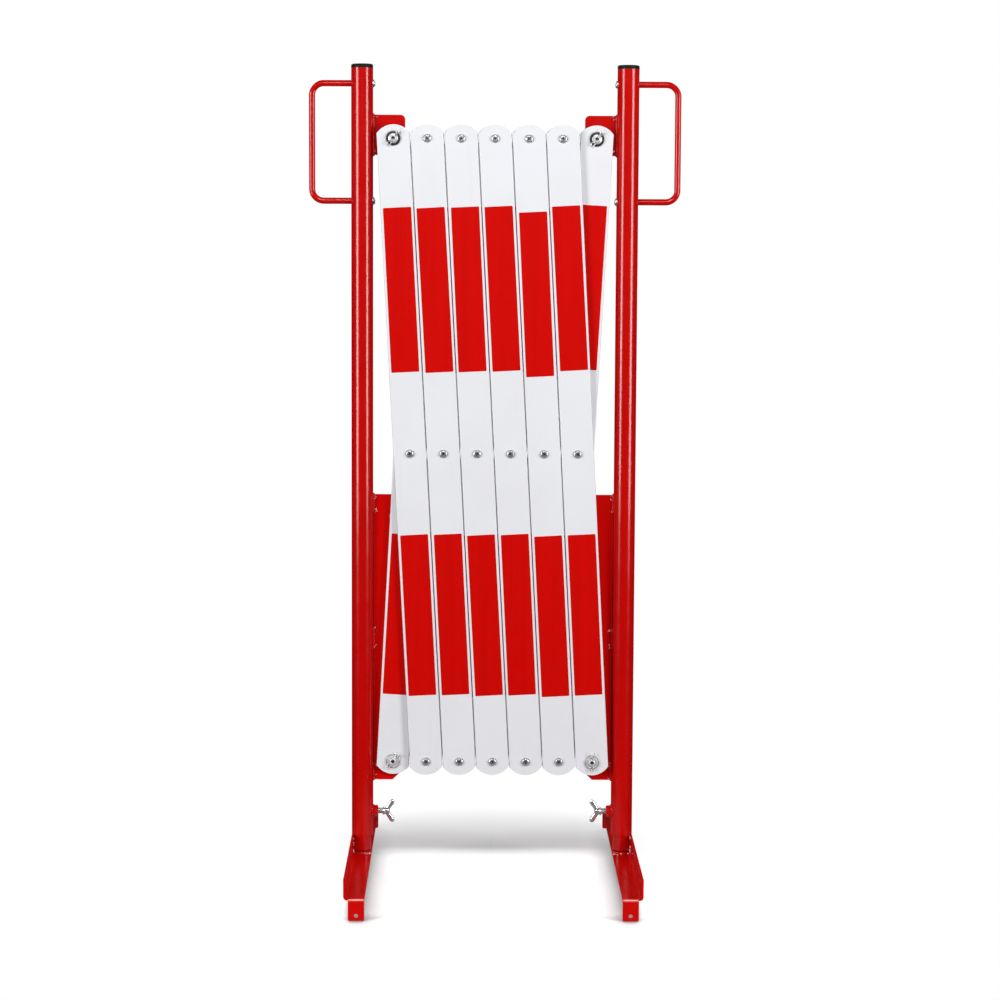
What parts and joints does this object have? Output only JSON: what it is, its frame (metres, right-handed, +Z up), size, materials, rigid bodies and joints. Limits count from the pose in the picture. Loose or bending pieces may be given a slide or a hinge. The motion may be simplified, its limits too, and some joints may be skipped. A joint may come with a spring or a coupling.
{
  "type": "expandable scissor barrier",
  "caption": "Mobile expandable barrier, folded: red tube posts with handles and cross feet, joined by a scissor lattice of red and white slats.",
  "frame": {"origin": "on the ground, midway between the two posts' axes, with the barrier folded", "axes": "+Z up, +X from the left post to the right post, -Y towards the front, where the striped slats face"},
  "size_m": [0.476, 0.5, 1.05],
  "materials": {
    "red_paint": "glossy powder coat over welded steel",
    "slat_paint": "satin white coated sheet steel",
    "foil": "retroreflective foil, satin",
    "cap": "moulded black plastic",
    "zinc": "bright zinc plated",
    "pin_steel": "dull zinc plated",
    "wing_steel": "dull zinc plated, cast"
  },
  "bodies": {
    "left_post": {"left_post_tube": "red_paint", "left_post_cap": "cap", "left_handle": "red_paint", "left_handle_screws": "zinc", "left_top_bracket": "red_paint", "left_guide_plate": "red_paint", "left_clamp_nut": "red_paint", "left_top_pin": "pin_steel"},
    "right_post": {"right_post_tube": "red_paint", "right_post_cap": "cap", "right_handle": "red_paint", "right_handle_screws": "zinc", "right_top_bracket": "red_paint", "right_guide_plate": "red_paint", "right_clamp_nut": "red_paint", "right_top_pin": "pin_steel"},
    "front_slat_1": {"front_slat_1": "slat_paint", "front_slat_1_foils": "foil", "pivot_bushes_1": "zinc", "pivot_screws_1": "zinc"},
    "back_slat_1": {"back_slat_1": "slat_paint", "back_slat_1_foils": "foil", "left_slide_pin": "pin_steel"},
    "front_slat_2": {"front_slat_2": "slat_paint", "front_slat_2_foils": "foil", "pivot_bushes_2": "zinc", "pivot_screws_2": "zinc"},
    "back_slat_2": {"back_slat_2": "slat_paint", "back_slat_2_foils": "foil"},
    "front_slat_3": {"front_slat_3": "slat_paint", "front_slat_3_foils": "foil", "pivot_bushes_3": "zinc", "pivot_screws_3": "zinc"},
    "back_slat_3": {"back_slat_3": "slat_paint", "back_slat_3_foils": "foil"},
    "front_slat_4": {"front_slat_4": "slat_paint", "front_slat_4_foils": "foil", "pivot_bushes_4": "zinc", "pivot_screws_4": "zinc"},
    "back_slat_4": {"back_slat_4": "slat_paint", "back_slat_4_foils": "foil"},
    "front_slat_5": {"front_slat_5": "slat_paint", "front_slat_5_foils": "foil", "pivot_bushes_5": "zinc", "pivot_screws_5": "zinc"},
    "back_slat_5": {"back_slat_5": "slat_paint", "back_slat_5_foils": "foil"},
    "front_slat_6": {"front_slat_6": "slat_paint", "front_slat_6_foils": "foil", "pivot_bushes_6": "zinc", "pivot_screws_6": "zinc", "right_slide_pin": "pin_steel"},
    "back_slat_6": {"back_slat_6": "slat_paint", "back_slat_6_foils": "foil"},
    "left_foot_stem": {"left_foot_spigot": "red_paint"},
    "left_foot": {"left_foot_plate": "red_paint"},
    "left_wing_screw": {"left_wing_screw": "wing_steel"},
    "right_foot_stem": {"right_foot_spigot": "red_paint"},
    "right_foot": {"right_foot_plate": "red_paint"},
    "right_wing_screw": {"right_wing_screw": "wing_steel"}
  },
  "joints": [
    {"name": "lattice_unfold", "type": "hinge", "parent": "left_post", "child": "front_slat_1", "pos_m": [-0.13, 0, 0.956], "axis": [0, -1, 0], "range_deg": [0, 50]},
    {"name": "mid_pivot_1", "type": "hinge", "parent": "front_slat_1", "child": "back_slat_1", "pos_m": [-0.10833, 0, 0.55258], "axis": [0, -1, 0], "range_deg": [-100, 0]},
    {"name": "bottom_pivot_2", "type": "hinge", "parent": "front_slat_1", "child": "back_slat_2", "pos_m": [-0.08667, 0, 0.14916], "axis": [0, -1, 0], "range_deg": [-100, 0]},
    {"name": "mid_pivot_2", "type": "hinge", "parent": "back_slat_2", "child": "front_slat_2", "pos_m": [-0.065, 0, 0.55258], "axis": [0, -1, 0], "range_deg": [0, 100]},
    {"name": "top_pivot_3", "type": "hinge", "parent": "back_slat_2", "child": "front_slat_3", "pos_m": [-0.04333, 0, 0.956], "axis": [0, -1, 0], "range_deg": [0, 100]},
    {"name": "mid_pivot_3", "type": "hinge", "parent": "front_slat_3", "child": "back_slat_3", "pos_m": [-0.02167, 0, 0.55258], "axis": [0, -1, 0], "range_deg": [-100, 0]},
    {"name": "bottom_pivot_4", "type": "hinge", "parent": "front_slat_3", "child": "back_slat_4", "pos_m": [0, 0, 0.14916], "axis": [0, -1, 0], "range_deg": [-100, 0]},
    {"name": "mid_pivot_4", "type": "hinge", "parent": "back_slat_4", "child": "front_slat_4", "pos_m": [0.02167, 0, 0.55258], "axis": [0, -1, 0], "range_deg": [0, 100]},
    {"name": "top_pivot_5", "type": "hinge", "parent": "back_slat_4", "child": "front_slat_5", "pos_m": [0.04333, 0, 0.956], "axis": [0, -1, 0], "range_deg": [0, 100]},
    {"name": "mid_pivot_5", "type": "hinge", "parent": "front_slat_5", "child": "back_slat_5", "pos_m": [0.065, 0, 0.55258], "axis": [0, -1, 0], "range_deg": [-100, 0]},
    {"name": "bottom_pivot_6", "type": "hinge", "parent": "front_slat_5", "child": "back_slat_6", "pos_m": [0.08667, 0, 0.14916], "axis": [0, -1, 0], "range_deg": [-100, 0]},
    {"name": "mid_pivot_6", "type": "hinge", "parent": "back_slat_6", "child": "front_slat_6", "pos_m": [0.10833, 0, 0.55258], "axis": [0, -1, 0], "range_deg": [0, 100]},
    {"name": "right_post_pivot", "type": "hinge", "parent": "back_slat_6", "child": "right_post", "pos_m": [0.13, 0, 0.956], "axis": [0, -1, 0], "range_deg": [0, 50]},
    {"name": "left_foot_height", "type": "slide", "parent": "left_post", "child": "left_foot_stem", "axis": [0, 0, -1], "range_m": [0, 0.06]},
    {"name": "left_foot_turn", "type": "hinge", "parent": "left_foot_stem", "child": "left_foot", "pos_m": [-0.17, 0, 0.028], "axis": [0, 0, 1], "range_deg": [0, 80]},
    {"name": "left_wing_screw_turn", "type": "hinge", "parent": "left_post", "child": "left_wing_screw", "pos_m": [-0.15, 0, 0.081], "axis": [1, 0, 0], "continuous": true},
    {"name": "right_foot_height", "type": "slide", "parent": "right_post", "child": "right_foot_stem", "axis": [0, 0, -1], "range_m": [0, 0.06]},
    {"name": "right_foot_turn", "type": "hinge", "parent": "right_foot_stem", "child": "right_foot", "pos_m": [0.17, 0, 0.028], "axis": [0, 0, 1], "range_deg": [0, 80]},
    {"name": "right_wing_screw_turn", "type": "hinge", "parent": "right_post", "child": "right_wing_screw", "pos_m": [0.15, 0, 0.081], "axis": [-1, 0, 0], "continuous": true}
  ],
  "couplings": [
    {"joint": "mid_pivot_1", "follows": "lattice_unfold", "ratio": -2},
    {"joint": "bottom_pivot_2", "follows": "lattice_unfold", "ratio": -2},
    {"joint": "mid_pivot_2", "follows": "lattice_unfold", "ratio": 2},
    {"joint": "top_pivot_3", "follows": "lattice_unfold", "ratio": 2},
    {"joint": "mid_pivot_3", "follows": "lattice_unfold", "ratio": -2},
    {"joint": "bottom_pivot_4", "follows": "lattice_unfold", "ratio": -2},
    {"joint": "mid_pivot_4", "follows": "lattice_unfold", "ratio": 2},
    {"joint": "top_pivot_5", "follows": "lattice_unfold", "ratio": 2},
    {"joint": "mid_pivot_5", "follows": "lattice_unfold", "ratio": -2},
    {"joint": "bottom_pivot_6", "follows": "lattice_unfold", "ratio": -2},
    {"joint": "mid_pivot_6", "follows": "lattice_unfold", "ratio": 2},
    {"joint": "right_post_pivot", "follows": "lattice_unfold", "ratio": 1}
  ]
}
